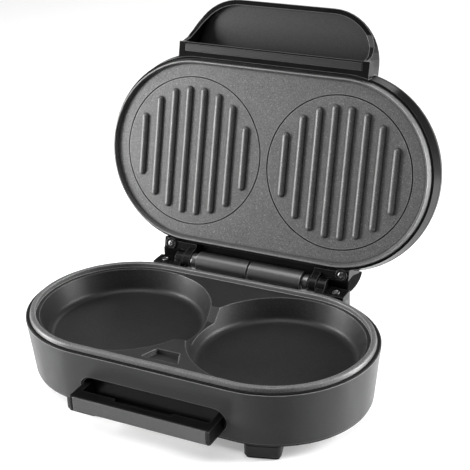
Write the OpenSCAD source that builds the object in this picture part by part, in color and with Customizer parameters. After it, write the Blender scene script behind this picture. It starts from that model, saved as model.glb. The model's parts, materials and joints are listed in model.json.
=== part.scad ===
/* [Wells and outline] */
// Radius of each round well at its mouth
well_r = 60; // [58:0.5:62]
// How far the mouths of the two wells reach into each other
well_overlap = 4; // [3:0.2:5]
// Depth of each well
well_depth = 16; // [13:0.5:17]
// How much a well narrows per millimetre of depth
well_draft = 0.25; // [0.2:0.01:0.3]
// Fillet round the floor of each well
well_fillet = 5; // [3:0.5:6]
// Thickness of both cast cooking plates
plate_t = 2.5; // [2.2:0.1:2.8]
// Half length of the saddle floor between the wells
saddle_half = 16.5; // [15.5:0.5:18]
// Length of the ramp at each end of the saddle
saddle_ramp = 8.5; // [7:0.5:10]
// Width of the dip in the land in front of the saddle, at its front edge
dip_w = 27; // [22:1:30]
// Length of that dip from front to back
dip_l = 12.5; // [10:0.5:14]
// Depth of that dip
dip_d = 3.2; // [2:0.2:4]
// Width of the flat land between a well and the rim
land_w = 2.6; // [2:0.1:4]
// Width of the rim
rim_w = 6.5; // [5.5:0.1:7.5]
// Height of the rim above the cooking plate
rim_step = 3.5; // [3.2:0.1:4]

/* [Base] */
// Height of the rim that the closed lid rests on
rim_top_z = 54; // [52:0.5:56]
// How far the base shell's top edge stands out past the rim
rim_inset = 0.5; // [0.2:0.1:0.9]
// How much narrower the base shell is at its bottom edge
shell_taper = 4.1; // [3:0.1:5]
// Wall of the base shell
shell_wall = 2; // [1.6:0.1:2.2]
// Height of the base shell's bottom edge above the worktop
shell_bottom_z = 12; // [11:0.5:13]
// Thickness of the black gasket between rim and shell
gasket_t = 0.8; // [0.6:0.1:1]
// Thickness of the bottom cover
cover_t = 1.6; // [1.2:0.1:2]
// Bore of the cord bush
cord_r = 3.6; // [3:0.1:4]

/* [Feet] */
// Width of each foot along the edge of the base
foot_w = 24; // [20:0.5:26]
// Depth of each foot, towards the middle of the base
foot_d = 16; // [14:0.5:18]
// Direction of the two right feet seen from the middle of the right well
foot_angle_right = 73.5; // [70:0.5:76]
// Direction of the two left feet seen from the middle of the left well
foot_angle_left = 90; // [80:0.5:92]
// Thickness of the rubber pad under each foot
pad_t = 1.5; // [1:0.1:2]

/* [Base handle] */
// Length of the front bar
bar_l = 103; // [98:1:105]
// Height of the front bar
bar_h = 10.5; // [9:0.5:11]
// Height of the bar's top face above the worktop
bar_top_z = 28; // [27:0.5:29]
// How far the front bar stands out from the base shell's top edge
bar_out = 14.4; // [13:0.2:17]
// Depth of the bar's top face
bar_d = 8; // [7:0.5:9]
// Width of the finger notch in the bar's top face
notch_w = 43; // [38:1:48]
// Depth of that notch
notch_d = 3; // [2:0.5:4]
// Length of the pill-shaped pocket behind the bar
pocket_l = 109; // [107:0.5:110]
// Height of that pocket
pocket_h = 18.7; // [18:0.1:19.5]
// Depth of the pocket behind the wall of the base
pocket_d = 7; // [6:0.5:7.5]

/* [Lid] */
// Angle of the opened lid, as it stands at rest
open_angle = 104; // [100:1:106]
// How far the lid's wall stands out past the base shell's top edge
lid_over = 2.4; // [2:0.1:3]
// Height of the lid's shoulder above the underside of its arms and handle
lid_wall_h = 13.5; // [12:0.5:15]
// Height of the lid shell's lower edge above the underside of its arms and handle
edge_step = 4; // [3:0.2:4.4]
// How much narrower the lid shell is at its lower edge
lid_flare = 2.3; // [1.8:0.1:2.5]
// Radius of the lid's rounded shoulder
lid_round = 17; // [15:0.5:18]
// Rise of the lid's crown above its shoulder
lid_crown = 2; // [1.5:0.1:2.5]
// Wall of the lid shell
lid_wall = 1.4; // [1.2:0.1:1.6]
// Gap between the rim of the base and the lid's arms and handle
lid_gap = 1.5; // [1:0.1:2]
// Air left between the closed lid's lip and the rim
seat_gap = 0.3; // [0.2:0.1:0.5]
// Depth of the upper plate's flat field inside its lip
lip_h = 3.5; // [3.2:0.1:4]
// Width of the upper plate's lip with the slope outside its crest
lip_w = 2.4; // [2:0.1:2.8]
// Height of that slope
lip_slope = 4.6; // [3.6:0.2:5]
// Black gap between the upper plate's lip and the lid shell
lip_gap = 0.5; // [0.4:0.1:0.8]
// Radius of the thin circle scribed above each well
circle_r = 55; // [54:0.5:56]
// Ribs in each circle
rib_count = 8; // [6:1:8]
// Distance between neighbouring ribs
rib_pitch = 12; // [11:0.1:12.2]
// Width of each rib
rib_w = 5.2; // [4.6:0.1:5.6]
// Space left between the ribs' ends and the scribed circle
rib_margin = 6.8; // [5:0.1:9]

/* [Lid handle] */
// Half width of the scoop handle
hood_half = 74; // [72:0.5:75]
// How far the scoop reaches out from the lid's wall
hood_reach = 41; // [38:0.5:43]
// Radius of the scoop's two front corners
hood_corner = 37; // [34:0.5:38]
// Height of the scoop's inner floor above the lid's lower edge
hood_rise = 23; // [21.5:0.5:24]
// Wall of the scoop
hood_wall = 2.8; // [2.4:0.1:3.2]
// Depth of the cross bar between scoop and lid
cross_d = 8; // [7:0.5:9]

/* [Hinge] */
// Distance of the hinge axis behind the lid's wall
hinge_out = 9.3; // [9:0.1:10]
// Depth of the hinge axis below the rim
hinge_drop = 2; // [1.5:0.1:2.5]
// Radius of the two barrels
barrel_r = 8; // [7.5:0.1:8.4]
// Length of each barrel
barrel_l = 41.2; // [39:0.2:41.4]
// Radius of the hinge pins
pin_r = 2.5; // [2:0.1:3]
// Radial clearance of the lid's knuckles on the pins
pin_gap = 0.05; // [0.02:0.01:0.08]
// Radius of the knuckles and collars
knuckle_r = 6.3; // [5.8:0.1:6.6]

/* [Hidden] */
$fn = 96;

// Outline of the base and the lid: radii round the middle of each well
end_x = well_r - well_overlap / 2;
rim_inner_r = well_r + land_w;
rim_r = rim_inner_r + rim_w;
shell_top_r = rim_r + rim_inset;
shell_bottom_r = shell_top_r - shell_taper;
lid_r = shell_top_r + lid_over;
edge_r = lid_r - lid_flare;
lip_r = edge_r - lid_wall - lip_gap;
lip_inner_r = lip_r - lip_w;

// Lower plate
plate_z = rim_top_z - rim_step;
well_floor_z = plate_z - well_depth;
draft_angle = atan(well_draft);
well_floor_r = well_r - well_draft * well_depth;
// The saddle floor lies where the two narrowing wells stop meeting
saddle_z = plate_z - well_overlap / 2 / well_draft;
saddle_block = 6;
dip_margin = 8.6;
dip_front = rim_inner_r - dip_margin;
dip_back = dip_front - dip_l;
dip_narrow = 5;
dip_draft = 1.2;

// Rim, with its skirt inside the shell
rim_edge = 2.7;
rim_round = 2.8;
shell_top_z = rim_top_z - rim_edge - gasket_t;
rim_skirt_t = 1.6;
rim_skirt_h = 5;
rim_skirt_z = shell_top_z - rim_skirt_h;
rim_skirt_r = wall_r(rim_skirt_z) - shell_wall - 0.2;
flange_r = rim_skirt_r - rim_skirt_t - 0.3;

// Heaters and reflectors
heater_r = 3.3;
heater_inset = 22;
heater_ring = well_r - heater_inset;
heater_open = 40;
pin_l = 6;
cold_pin_r = 2;
reflector_t = 0.8;
reflector_inset = 8;
reflector_r = well_r - reflector_inset;
reflector_rim = 4;
reflector_gap = 4.4;
reflector_z = well_floor_z - plate_t - 2 * heater_r - reflector_gap;
leg_r = 2.5;

// Bottom cover, its posts and the screws in them
cover_z = shell_bottom_z - cover_t;
cover_r = shell_bottom_r - 0.7;
cover_skirt_r = shell_bottom_r - shell_wall - 0.25;
cover_skirt_t = 1.6;
cover_skirt_h = 2.6;
post_x = 14;
plate_post = [post_x, reflector_r];
post_r = 4.5;
post_gap = 0.6;
stud_h = 10;
post_top_z = plate_z - plate_t - stud_h;
head_r = 3.2;
head_h = 2.2;
head_gap = 0.3;
shelf_t = 4;
thread_r = 1.5;
thread_gap = 0.1;
thread_l = 10;
stud_r = 4.2;
shelf_post = [end_x, 30];
shelf_post_r = 3.5;
shell_boss_r = 3.8;
shell_boss_at = shell_bottom_r - shell_wall - shell_boss_r - 1.1;
shell_boss_angle = 28;
shell_boss_h = 13;
vent_count = 7;
vent_pitch = 6;
vent_w = 2.4;
vent_l = 34;

// Parts between the lower plate and the bottom cover
thermostat_r = 8;
thermostat_y = -(dip_front + dip_back) / 2;
thermostat_h = 7;
tab = [3, 0.8, 5];
fuse_r = 2;
fuse_l = 14;
fuse_y = well_r - 14;
upper_fuse_y = 30;
wire_r = 0.5;
wire_l = 5;
terminal = [18, 12, 12];
terminal_y = well_r - 10;
terminal_z = reflector_z + 5;
terminal_stem_r = 3;
terminal_hole_r = 1.8;
cord_z = shell_bottom_z + 10;
bush_r = cord_r + 2.6;
bush_flange_r = bush_r + 2.2;
bush_flange_t = 2.4;
bush_depth = 8;

// Feet
foot_inset = 0.4;
foot_corner = 3;
pad_inset = 1;

// Base handle
bar_front = shell_top_r + bar_out;
pill_z = bar_top_z - 3.6;
pocket_wall = 1.6;
pocket_back_y = wall_r(pill_z) - pocket_d;
pocket_front = wall_r(pill_z) - 0.5;
cheek_w = 4.5;
cheek_y = pocket_back_y + pocket_wall / 2;
band_t = 1.2;
bar_wall = 2.5;

// Hinge, from the middle of the base outwards
hinge_y = lid_r + hinge_out;
hinge_z = rim_top_z - hinge_drop;
seam = 0.8;
barrel_end = seam + barrel_l;
collar_gap = 1.1;
collar_l = 3.9;
collar_x = barrel_end + collar_gap;
knuckle_x = collar_x + collar_l + collar_gap;
knuckle_l = 5.8;
lug_x = knuckle_x + knuckle_l + 0.9;
lug_l = 6;
lug_r = 5.6;
screw_step = 14.4;
screw_x = lug_x + screw_step;
ear_end = screw_x + 7.8;
pin_start = 24;
pin_end = lug_x + lug_l - 0.8;
bracket_z = hinge_z - 6;
bracket_top_z = hinge_z - 1;
bracket_front = shell_top_r + 1.9;
bracket_back = hinge_y + 3;
ear_z = bracket_z - 7;
neck_x = [5, 37];
neck_h = 18;
neck_top_z = hinge_z - 3;
neck_z = [neck_top_z - neck_h, neck_top_z];
bracket_screw_y = hinge_y - 4.1;
arm_screw_y = lid_r;
boss_r = 4.6;
boss_h = 12;
arm_root = lid_r - 6;
arm_y = lid_r + 4;
arm_h = 21;
arm_end = screw_x + 5.8;
small_head_r = 2.7;
small_head_h = 1.4;
small_shaft_r = 1.4;
small_shaft_l = 8;

// Lid
lid_z = rim_top_z + lid_gap;
edge_z = lid_z + edge_step;
shoulder_z = lid_z + lid_wall_h;
crown_z = shoulder_z + lid_round + lid_crown;
flat_r = lid_r - lid_round;
crown_r = (flat_r * flat_r + lid_crown * lid_crown) / (2 * lid_crown);
lip_z = rim_top_z + seat_gap;
field_z = lip_z + lip_h;
plate_back_z = field_z + plate_t;
frame_t = 2;
frame_z = plate_back_z;
frame_r = lid_wall_r(frame_z) - lid_wall - 0.15;
lip_crest = 0.8;
lip_lean = 0.5;
frame_w = 26;
upper_reflector_gap = 3;
upper_reflector_z = plate_back_z + 2 * heater_r + upper_reflector_gap;
lid_post = [post_x, terminal_y];
rib_reach = circle_r - rib_margin;
scribe_w = 0.7;
scribe_d = 0.5;
lamp_x = 12;
lamp_y = -30;
lamp_r = 3;
lens_h = 6;
lens_rise = 1.6;
lens_bevel = 0.8;
holder_post_r = 2;
holder_post_x = lamp_x + 4.5;
holder = [2 * lamp_x + 14, 12, 3];

// Lid handle
hood_front = lid_r + hood_reach;
hood_floor_z = lid_z + hood_rise;
hood_top_z = hood_floor_z + hood_wall;
hood_root = 20;
hood_back = lid_r - hood_root;
cross_front = lid_r + cross_d;
cross_half = hood_half + 0.5;
cross_h = 6.5;
mouth_z = hood_floor_z - 3;
strip_t = 0.8;
strip_rise = 0.4;
strip_inset = 1.6;
strip_half = hood_half - 5;
seg = 6;

// Radius of the base shell's outer wall at height z
function wall_r(z) =
    shell_bottom_r
    + (shell_top_r - shell_bottom_r) * (z - shell_bottom_z) / (shell_top_z - shell_bottom_z);

// Radius of the lid shell's drafted wall at height z
function lid_wall_r(z) = edge_r + (lid_r - edge_r) * (z - edge_z) / (shoulder_z - edge_z);

// Points of a well's profile, moved outwards by off
function well_profile(off, top_z) =
    let (arc_x = well_floor_r - well_fillet, arc_z = well_floor_z + well_fillet,
         r = well_fillet + off)
    concat(
        [[0, well_floor_z - off]],
        [for (i = [0:seg])
            let (a = i * (90 - draft_angle) / seg)
            [arc_x + r * sin(a), arc_z - r * cos(a)]],
        [[well_r + off / cos(draft_angle) + well_draft * (top_z - plate_z), top_z], [0, top_z]]
    );

// Outline of the scoop seen from above, drawn in by inset
function hood_outline(inset) =
    let (r = hood_corner - inset, cx = hood_half - hood_corner, cy = hood_front - hood_corner)
    concat(
        [[hood_half - inset, -hood_back]],
        [for (a = [0:7.5:90]) [cx + r * cos(a), -cy - r * sin(a)]],
        [for (a = [90:7.5:180]) [-cx + r * cos(a), -cy - r * sin(a)]],
        [[-hood_half + inset, -hood_back]]
    );

// Sweeps a profile drawn as radius and height round the outline of the base and the lid
module racetrack() {
    for (side = [0, 1])
        mirror([side, 0, 0])
            translate([end_x, 0, 0])
                rotate([0, 0, -90])
                    rotate_extrude(angle = 180)
                        children();
    for (side = [0, 1])
        mirror([0, side, 0])
            translate([-end_x, 0, 0])
                rotate([90, 0, 90])
                    linear_extrude(2 * end_x)
                        children();
}

// Places its children at all four corners given by a point in the first quarter
module at_corners(p) {
    for (sx = [-1, 1], sy = [-1, 1])
        translate([sx * p[0], sy * p[1], 0])
            children();
}

// Turns its children, which face +X, to each of the four directions at the ends of the base
module at_ends(angle) {
    for (mx = [0, 1], my = [0, 1])
        mirror([mx, 0, 0])
            mirror([0, my, 0])
                translate([end_x, 0, 0])
                    rotate([0, 0, angle])
                        children();
}

// Draws its closed position at the open angle
module opened() {
    translate([0, hinge_y, hinge_z])
        rotate([-open_angle, 0, 0])
            translate([0, -hinge_y, -hinge_z])
                children();
}

// Rod along X from x0 to x1 on the hinge axis
module hinge_rod(x0, x1, r) {
    translate([x0, hinge_y, hinge_z])
        rotate([0, 90, 0])
            cylinder(r = r, h = x1 - x0);
}

// Extrudes a side profile, drawn as y and z, along X
module along_x(x0, x1) {
    translate([x0, 0, 0])
        rotate([90, 0, 90])
            linear_extrude(x1 - x0)
                children();
}

// Rounded rectangle centred on the origin
module rounded_rect(w, d, r) {
    square([w - 2 * r, d], center = true);
    square([w, d - 2 * r], center = true);
    for (sx = [-1, 1], sy = [-1, 1])
        translate([sx * (w / 2 - r), sy * (d / 2 - r)])
            circle(r);
}

// Pill-shaped block that faces the front, from y0 to y1
module pill_block(l, h, y0, y1) {
    translate([0, y1, pill_z])
        rotate([90, 0, 0])
            linear_extrude(y1 - y0)
                rounded_rect(l, h, h / 2 - 0.01);
}

// Everything inside the outer face of the base shell
module base_solid() {
    racetrack()
        polygon([
            [0, shell_bottom_z], [shell_bottom_r, shell_bottom_z],
            [shell_top_r, shell_top_z], [0, shell_top_z]
        ]);
}

// Section of the lid's housing, drawn in by inset and carried on below its edge
module lid_section(inset, below) {
    intersection() {
        union() {
            polygon([
                [0, edge_z - below], [edge_r - inset, edge_z - below],
                [edge_r - inset, edge_z], [lid_r - inset, shoulder_z], [0, shoulder_z]
            ]);
            translate([0, shoulder_z - 0.01])
                square([flat_r, lid_round + lid_crown + 0.01 - inset]);
            intersection() {
                translate([flat_r, shoulder_z])
                    circle(lid_round - inset);
                translate([0, shoulder_z - 1])
                    square([lid_r, lid_round + 2]);
            }
        }
        translate([0, crown_z - crown_r - inset])
            circle(crown_r, $fn = 720);
    }
}

// Everything inside the outer face of the lid's housing
module lid_solid() {
    racetrack()
        lid_section(0, 0);
}

// The same with the space under the housing that the plate's lip stands in
module lid_space() {
    racetrack()
        lid_section(0, edge_step + 2);
}

module base_shell() color("dimgray") difference() {
    union() {
        racetrack()
            polygon([
                [shell_bottom_r, shell_bottom_z], [shell_top_r, shell_top_z],
                [shell_top_r - shell_wall, shell_top_z],
                [shell_bottom_r - shell_wall, shell_bottom_z]
            ]);
        // Ears behind the base that carry the hinge brackets
        for (side = [-1, 1])
            difference() {
                translate([side > 0 ? lug_x : -ear_end, well_r, ear_z])
                    cube([ear_end - lug_x, bracket_back - well_r, bracket_z - ear_z]);
                translate([0, 0, -0.5])
                    base_inside();
                base_inside();
            }
        // Bosses for the cover screws, each on a rib from the wall
        at_ends(shell_boss_angle)
            translate([0, 0, shell_bottom_z + 0.2])
                intersection() {
                    union() {
                        translate([shell_boss_at, 0, 0])
                            cylinder(r = shell_boss_r, h = shell_boss_h);
                        translate([shell_boss_at, -1, 0])
                            cube([shell_bottom_r - 1 - shell_boss_at, 2, shell_boss_h]);
                    }
                    cylinder(r = shell_bottom_r - 0.5, h = shell_boss_h);
                }
    }
    pill_block(pocket_l, pocket_h, -shell_top_r - 1, -pocket_back_y + 1);
    translate([0, wall_r(cord_z) - bush_depth, cord_z])
        rotate([-90, 0, 0])
            cylinder(r = bush_r, h = bush_depth + 4);
    at_ends(shell_boss_angle)
        translate([shell_boss_at, 0, shell_bottom_z - 1])
            cylinder(r = thread_r + thread_gap, h = shell_boss_h - 2);
    for (side = [-1, 1])
        translate([side * screw_x, bracket_screw_y, bracket_z - 6])
            cylinder(r = small_shaft_r + thread_gap, h = 7);
}

// Space inside the base shell, for trimming what meets its inner face
module base_inside() {
    racetrack()
        polygon([
            [0, shell_bottom_z - 1], [shell_bottom_r - shell_wall, shell_bottom_z - 1],
            [shell_top_r - shell_wall, shell_top_z + 1], [0, shell_top_z + 1]
        ]);
}

module bottom_cover() color("black") difference() {
    union() {
        racetrack()
            polygon([
                [0, cover_z], [cover_r, cover_z], [cover_r, shell_bottom_z],
                [0, shell_bottom_z]
            ]);
        racetrack()
            polygon([
                [cover_skirt_r - cover_skirt_t, shell_bottom_z - 0.1],
                [cover_skirt_r, shell_bottom_z - 0.1],
                [cover_skirt_r, shell_bottom_z + cover_skirt_h],
                [cover_skirt_r - cover_skirt_t, shell_bottom_z + cover_skirt_h]
            ]);
        at_corners(plate_post)
            translate([0, 0, cover_z])
                cylinder(r = post_r, h = post_top_z - cover_z);
        at_corners(shelf_post)
            translate([0, 0, cover_z])
                cylinder(r = shelf_post_r, h = reflector_z - cover_z);
    }
    at_corners(plate_post) {
        translate([0, 0, cover_z - 1])
            cylinder(r = head_r + head_gap, h = post_top_z - shelf_t - cover_z + 1);
        translate([0, 0, cover_z])
            cylinder(r = thread_r + 2 * thread_gap, h = post_top_z);
    }
    at_ends(shell_boss_angle)
        translate([shell_boss_at, 0, cover_z - 1])
            cylinder(r = thread_r + 2 * thread_gap, h = cover_t + 2);
    // Clearance in the skirt for the bosses of the shell
    at_ends(shell_boss_angle)
        translate([shell_boss_at - shell_boss_r - 0.4, -shell_boss_r - 0.4, shell_bottom_z])
            cube([2 * shell_boss_r + 4, 2 * shell_boss_r + 0.8, shell_boss_h]);
    for (side = [-1, 1], i = [0:vent_count - 1])
        translate([side * end_x, (i - (vent_count - 1) / 2) * vent_pitch, cover_z - 1])
            linear_extrude(cover_t + 2)
                rounded_rect(vent_l, vent_w, vent_w / 2 - 0.01);
}

module base_rim() color("gray")
    racetrack()
        union() {
            polygon([
                [rim_inner_r, plate_z], [rim_inner_r, rim_top_z - 0.4],
                [rim_inner_r + 0.4, rim_top_z], [rim_r - rim_round, rim_top_z],
                [rim_r - rim_round, shell_top_z + gasket_t], [rim_skirt_r, shell_top_z + gasket_t],
                [rim_skirt_r, rim_skirt_z], [rim_skirt_r - rim_skirt_t, rim_skirt_z],
                [rim_skirt_r - rim_skirt_t, plate_z]
            ]);
            intersection() {
                translate([rim_r - rim_round, rim_top_z - rim_round])
                    circle(rim_round);
                translate([rim_r - rim_round - 1, shell_top_z + gasket_t])
                    square([rim_round + 2, rim_round + 2]);
            }
        }

module rim_gasket() color("black")
    racetrack()
        polygon([
            [rim_skirt_r + 0.05, shell_top_z], [rim_r - 0.3, shell_top_z],
            [rim_r - 0.3, shell_top_z + gasket_t], [rim_skirt_r + 0.05, shell_top_z + gasket_t]
        ]);

// Outline of the dip in front of the saddle, grown by off
module dip_outline(off) {
    back = dip_w / 2 - dip_narrow + off;
    front = dip_w / 2 + off;
    polygon([
        [-back, off - dip_back], [back, off - dip_back],
        [front, -off - dip_front], [-front, -off - dip_front]
    ]);
}

module lower_plate() color("dimgray") difference() {
    union() {
        racetrack()
            polygon([
                [0, plate_z - plate_t], [flange_r, plate_z - plate_t],
                [flange_r, plate_z], [0, plate_z]
            ]);
        for (side = [-1, 1])
            translate([side * end_x, 0, 0])
                rotate_extrude()
                    polygon(well_profile(plate_t, plate_z));
        translate([-saddle_block, -saddle_half - saddle_ramp - 2, saddle_z - plate_t])
            cube([
                2 * saddle_block, 2 * (saddle_half + saddle_ramp + 2),
                plate_z - saddle_z + plate_t
            ]);
        translate([0, 0, plate_z - dip_d - plate_t])
            linear_extrude(dip_d + 1)
                dip_outline(plate_t);
        at_corners(plate_post)
            translate([0, 0, post_top_z])
                cylinder(r = stud_r, h = plate_z - plate_t - post_top_z + 1);
    }
    for (side = [-1, 1])
        translate([side * end_x, 0, 0])
            rotate_extrude()
                polygon(well_profile(0, plate_z + 1));
    // Saddle between the wells
    along_x(-saddle_block - 2, saddle_block + 2)
        polygon([
            [-saddle_half, saddle_z], [saddle_half, saddle_z],
            [saddle_half + saddle_ramp, plate_z], [saddle_half + saddle_ramp, plate_z + 1],
            [-saddle_half - saddle_ramp, plate_z + 1], [-saddle_half - saddle_ramp, plate_z]
        ]);
    // Dip in the land in front of the saddle
    hull() {
        translate([0, 0, plate_z - dip_d])
            linear_extrude(0.01)
                dip_outline(-dip_draft);
        translate([0, 0, plate_z])
            linear_extrude(1)
                dip_outline(0);
    }
    at_corners(plate_post)
        translate([0, 0, post_top_z - 1])
            cylinder(r = thread_r + thread_gap, h = 9);
}

// One tubular heater ring, open towards the back, with a cold pin at each end
module heater(up) {
    rotate([0, 0, 90 + heater_open / 2])
        rotate_extrude(angle = 360 - heater_open)
            translate([heater_ring, 0])
                circle(heater_r, $fn = 48);
    for (side = [-1, 1])
        rotate([0, 0, 90 + side * (heater_open / 2 + 6)])
            translate([heater_ring, 0, up > 0 ? 0 : -pin_l])
                cylinder(r = cold_pin_r, h = pin_l, $fn = 48);
}

module lower_heaters() color("silver")
    for (side = [-1, 1])
        translate([side * end_x, 0, well_floor_z - plate_t - heater_r])
            heater(-1);

module lower_reflector() color("silver") difference() {
    racetrack()
        polygon([
            [0, reflector_z], [reflector_r, reflector_z],
            [reflector_r + 1, reflector_z + reflector_rim],
            [reflector_r + 1 - reflector_t, reflector_z + reflector_rim],
            [reflector_r - reflector_t, reflector_z + reflector_t], [0, reflector_z + reflector_t]
        ]);
    at_corners(plate_post)
        translate([0, 0, reflector_z - 1])
            cylinder(r = post_r + post_gap, h = reflector_rim + 2);
    translate([0, terminal_y, reflector_z - 1])
        cylinder(r = terminal_stem_r + post_gap, h = reflector_rim + 2);
}

module thermostat() color("silver")
    translate([0, thermostat_y, plate_z - dip_d - plate_t - thermostat_h]) {
        cylinder(r = thermostat_r, h = thermostat_h);
        for (side = [-1, 1])
            translate([side * thermostat_r / 2 - tab[0] / 2, -tab[1] / 2, -tab[2]])
                cube([tab[0], tab[1], tab[2] + 0.5]);
    }

// Thermal fuse along X with its lead at both ends
module fuse() {
    rotate([0, 90, 0])
        cylinder(r = fuse_r, h = fuse_l, center = true);
    rotate([0, 90, 0])
        cylinder(r = wire_r, h = fuse_l + 2 * wire_l, center = true, $fn = 24);
}

module lower_fuse() color("white")
    translate([0, fuse_y, plate_z - plate_t - fuse_r])
        fuse();

module terminal_block() color("ivory")
    translate([0, terminal_y, terminal_z]) difference() {
        union() {
            translate([-terminal[0] / 2, -terminal[1] / 2, 0])
                cube(terminal);
            translate([0, 0, shell_bottom_z - terminal_z])
                cylinder(r = terminal_stem_r, h = terminal_z - shell_bottom_z + 1);
        }
        for (i = [-1:1])
            translate([i * terminal[0] / 3, -terminal[1] / 2 - 1, terminal[2] / 2])
                rotate([-90, 0, 0])
                    cylinder(r = terminal_hole_r, h = terminal[1] + 2, $fn = 24);
    }

// Screw that points up, with its head's top at the origin
module screw(r, l, hr, hh) {
    translate([0, 0, -hh])
        cylinder(r = hr, h = hh);
    translate([0, 0, -0.01])
        cylinder(r = r, h = l);
}

module plate_screws() color("silver")
    at_corners(plate_post)
        translate([0, 0, post_top_z - shelf_t])
            screw(thread_r, shelf_t + 7, head_r, head_h);

module cover_screws() color("silver")
    at_ends(shell_boss_angle)
        translate([shell_boss_at, 0, cover_z])
            screw(thread_r, thread_l, head_r, cover_t);

// Places its children at the four feet, front and back on either side
module at_feet() {
    for (side = [-1, 1], my = [0, 1])
        mirror([0, my, 0])
            translate([side * end_x, 0, 0])
                rotate([0, 0, side > 0 ? foot_angle_right : 180 - foot_angle_left])
                    translate([cover_r - foot_d / 2 - foot_inset, 0, 0])
                        children();
}

module feet() color("black")
    at_feet()
        translate([0, 0, pad_t])
            linear_extrude(cover_z - pad_t)
                rounded_rect(foot_d, foot_w, foot_corner);

module foot_pads() color("black")
    at_feet()
        linear_extrude(pad_t)
            rounded_rect(foot_d - 2 * pad_inset, foot_w - 2 * pad_inset, foot_corner - pad_inset / 2);

module base_handle() color("black") {
    difference() {
        union() {
            // Pocket let into the wall of the base
            difference() {
                pill_block(pocket_l, pocket_h, -pocket_front, -pocket_back_y);
                pill_block(
                    pocket_l - 2 * pocket_wall, pocket_h - 2 * pocket_wall,
                    -pocket_front - 1, -pocket_back_y - pocket_wall
                );
            }
            // Cheeks that carry the bar
            for (side = [-1, 1])
                let (x0 = side > 0 ? bar_l / 2 - cheek_w : -bar_l / 2)
                along_x(x0, x0 + cheek_w)
                    polygon([
                        [-bar_front, bar_top_z - bar_h], [-bar_front, bar_top_z],
                        [-cheek_y, bar_top_z], [-cheek_y, bar_top_z - bar_h]
                    ]);
            // Bar with its top face
            along_x(-bar_l / 2, bar_l / 2)
                polygon([
                    [-bar_front, bar_top_z - bar_h], [-bar_front, bar_top_z],
                    [-bar_front + bar_d, bar_top_z], [-bar_front + bar_d, bar_top_z - bar_wall],
                    [-bar_front + bar_wall, bar_top_z - bar_wall],
                    [-bar_front + bar_wall, bar_top_z - bar_h]
                ]);
        }
        // Finger notch
        translate([-notch_w / 2, -bar_front + bar_d - notch_d, bar_top_z - bar_wall - 1])
            cube([notch_w, notch_d + 1, bar_wall + 2]);
    }
}

module base_handle_band() color("gray")
    translate([0, -bar_front, bar_top_z - bar_h / 2])
        rotate([90, 0, 0])
            linear_extrude(band_t)
                rounded_rect(bar_l - 0.4, bar_h - 0.4, 0.8);

// Hinge barrel with the neck that stands on the back wall of the base
module hinge_barrel() difference() {
    union() {
        hinge_rod(seam, barrel_end, barrel_r);
        along_x(neck_x[0], neck_x[1])
            polygon([
                [well_r, neck_z[0]], [wall_r(neck_z[0]) + 3, neck_z[0]],
                [bracket_back, neck_z[1] - 6], [bracket_back, neck_z[1]], [well_r, neck_z[1]]
            ]);
    }
    hinge_rod(pin_start, barrel_end + 1, pin_r + pin_gap);
    base_solid();
    racetrack()
        polygon([
            [0, shell_top_z - 1], [rim_r + 1, shell_top_z - 1],
            [rim_r + 1, lid_z], [0, lid_z]
        ]);
}

module hinge_barrel_left() color("darkgray") mirror([1, 0, 0]) hinge_barrel();
module hinge_barrel_right() color("darkgray") hinge_barrel();

// Bracket that stands on an ear of the base and holds the outer end of the pin
module hinge_bracket() difference() {
    union() {
        hinge_rod(lug_x, lug_x + lug_l, lug_r);
        along_x(lug_x, lug_x + lug_l)
            polygon([
                [bracket_front, bracket_z], [bracket_back, bracket_z],
                [bracket_back, bracket_top_z], [hinge_y - 4, bracket_top_z + 2],
                [bracket_front, bracket_top_z]
            ]);
        along_x(lug_x + lug_l - 1, ear_end)
            polygon([
                [bracket_front, bracket_z], [bracket_back, bracket_z],
                [bracket_back, bracket_top_z], [bracket_front, bracket_top_z]
            ]);
    }
    hinge_rod(lug_x - 1, pin_end, pin_r + pin_gap);
    translate([screw_x, bracket_screw_y, bracket_z - 1])
        cylinder(r = small_shaft_r + 2 * thread_gap, h = 8);
}

module hinge_bracket_left() color("black") mirror([1, 0, 0]) hinge_bracket();
module hinge_bracket_right() color("black") hinge_bracket();

module hinge_collar() difference() {
    hinge_rod(collar_x, collar_x + collar_l, knuckle_r);
    hinge_rod(collar_x - 1, collar_x + collar_l + 1, pin_r + pin_gap);
}

module hinge_collar_left() color("gray") mirror([1, 0, 0]) hinge_collar();
module hinge_collar_right() color("gray") hinge_collar();

module hinge_pin_left() color("silver") mirror([1, 0, 0]) hinge_rod(pin_start, pin_end, pin_r);
module hinge_pin_right() color("silver") hinge_rod(pin_start, pin_end, pin_r);

module bracket_screws() color("silver")
    for (side = [-1, 1])
        translate([side * screw_x, bracket_screw_y, bracket_top_z])
            rotate([180, 0, 0])
                screw(small_shaft_r, small_shaft_l, small_head_r, small_head_h);

// Bush that the mains cord goes through, seated on the sloping back wall
module cord_bush() color("black") difference() {
    union() {
        difference() {
            translate([0, wall_r(cord_z) - 2, cord_z])
                rotate([-90, 0, 0])
                    cylinder(r = bush_flange_r, h = bush_flange_t + 2);
            base_solid();
        }
        translate([0, wall_r(cord_z) - bush_depth, cord_z])
            rotate([-90, 0, 0])
                cylinder(r = bush_r - 0.1, h = bush_depth + 1);
    }
    translate([0, wall_r(cord_z) - bush_depth - 1, cord_z])
        rotate([-90, 0, 0])
            cylinder(r = cord_r, h = bush_depth + bush_flange_t + 3);
}

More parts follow.
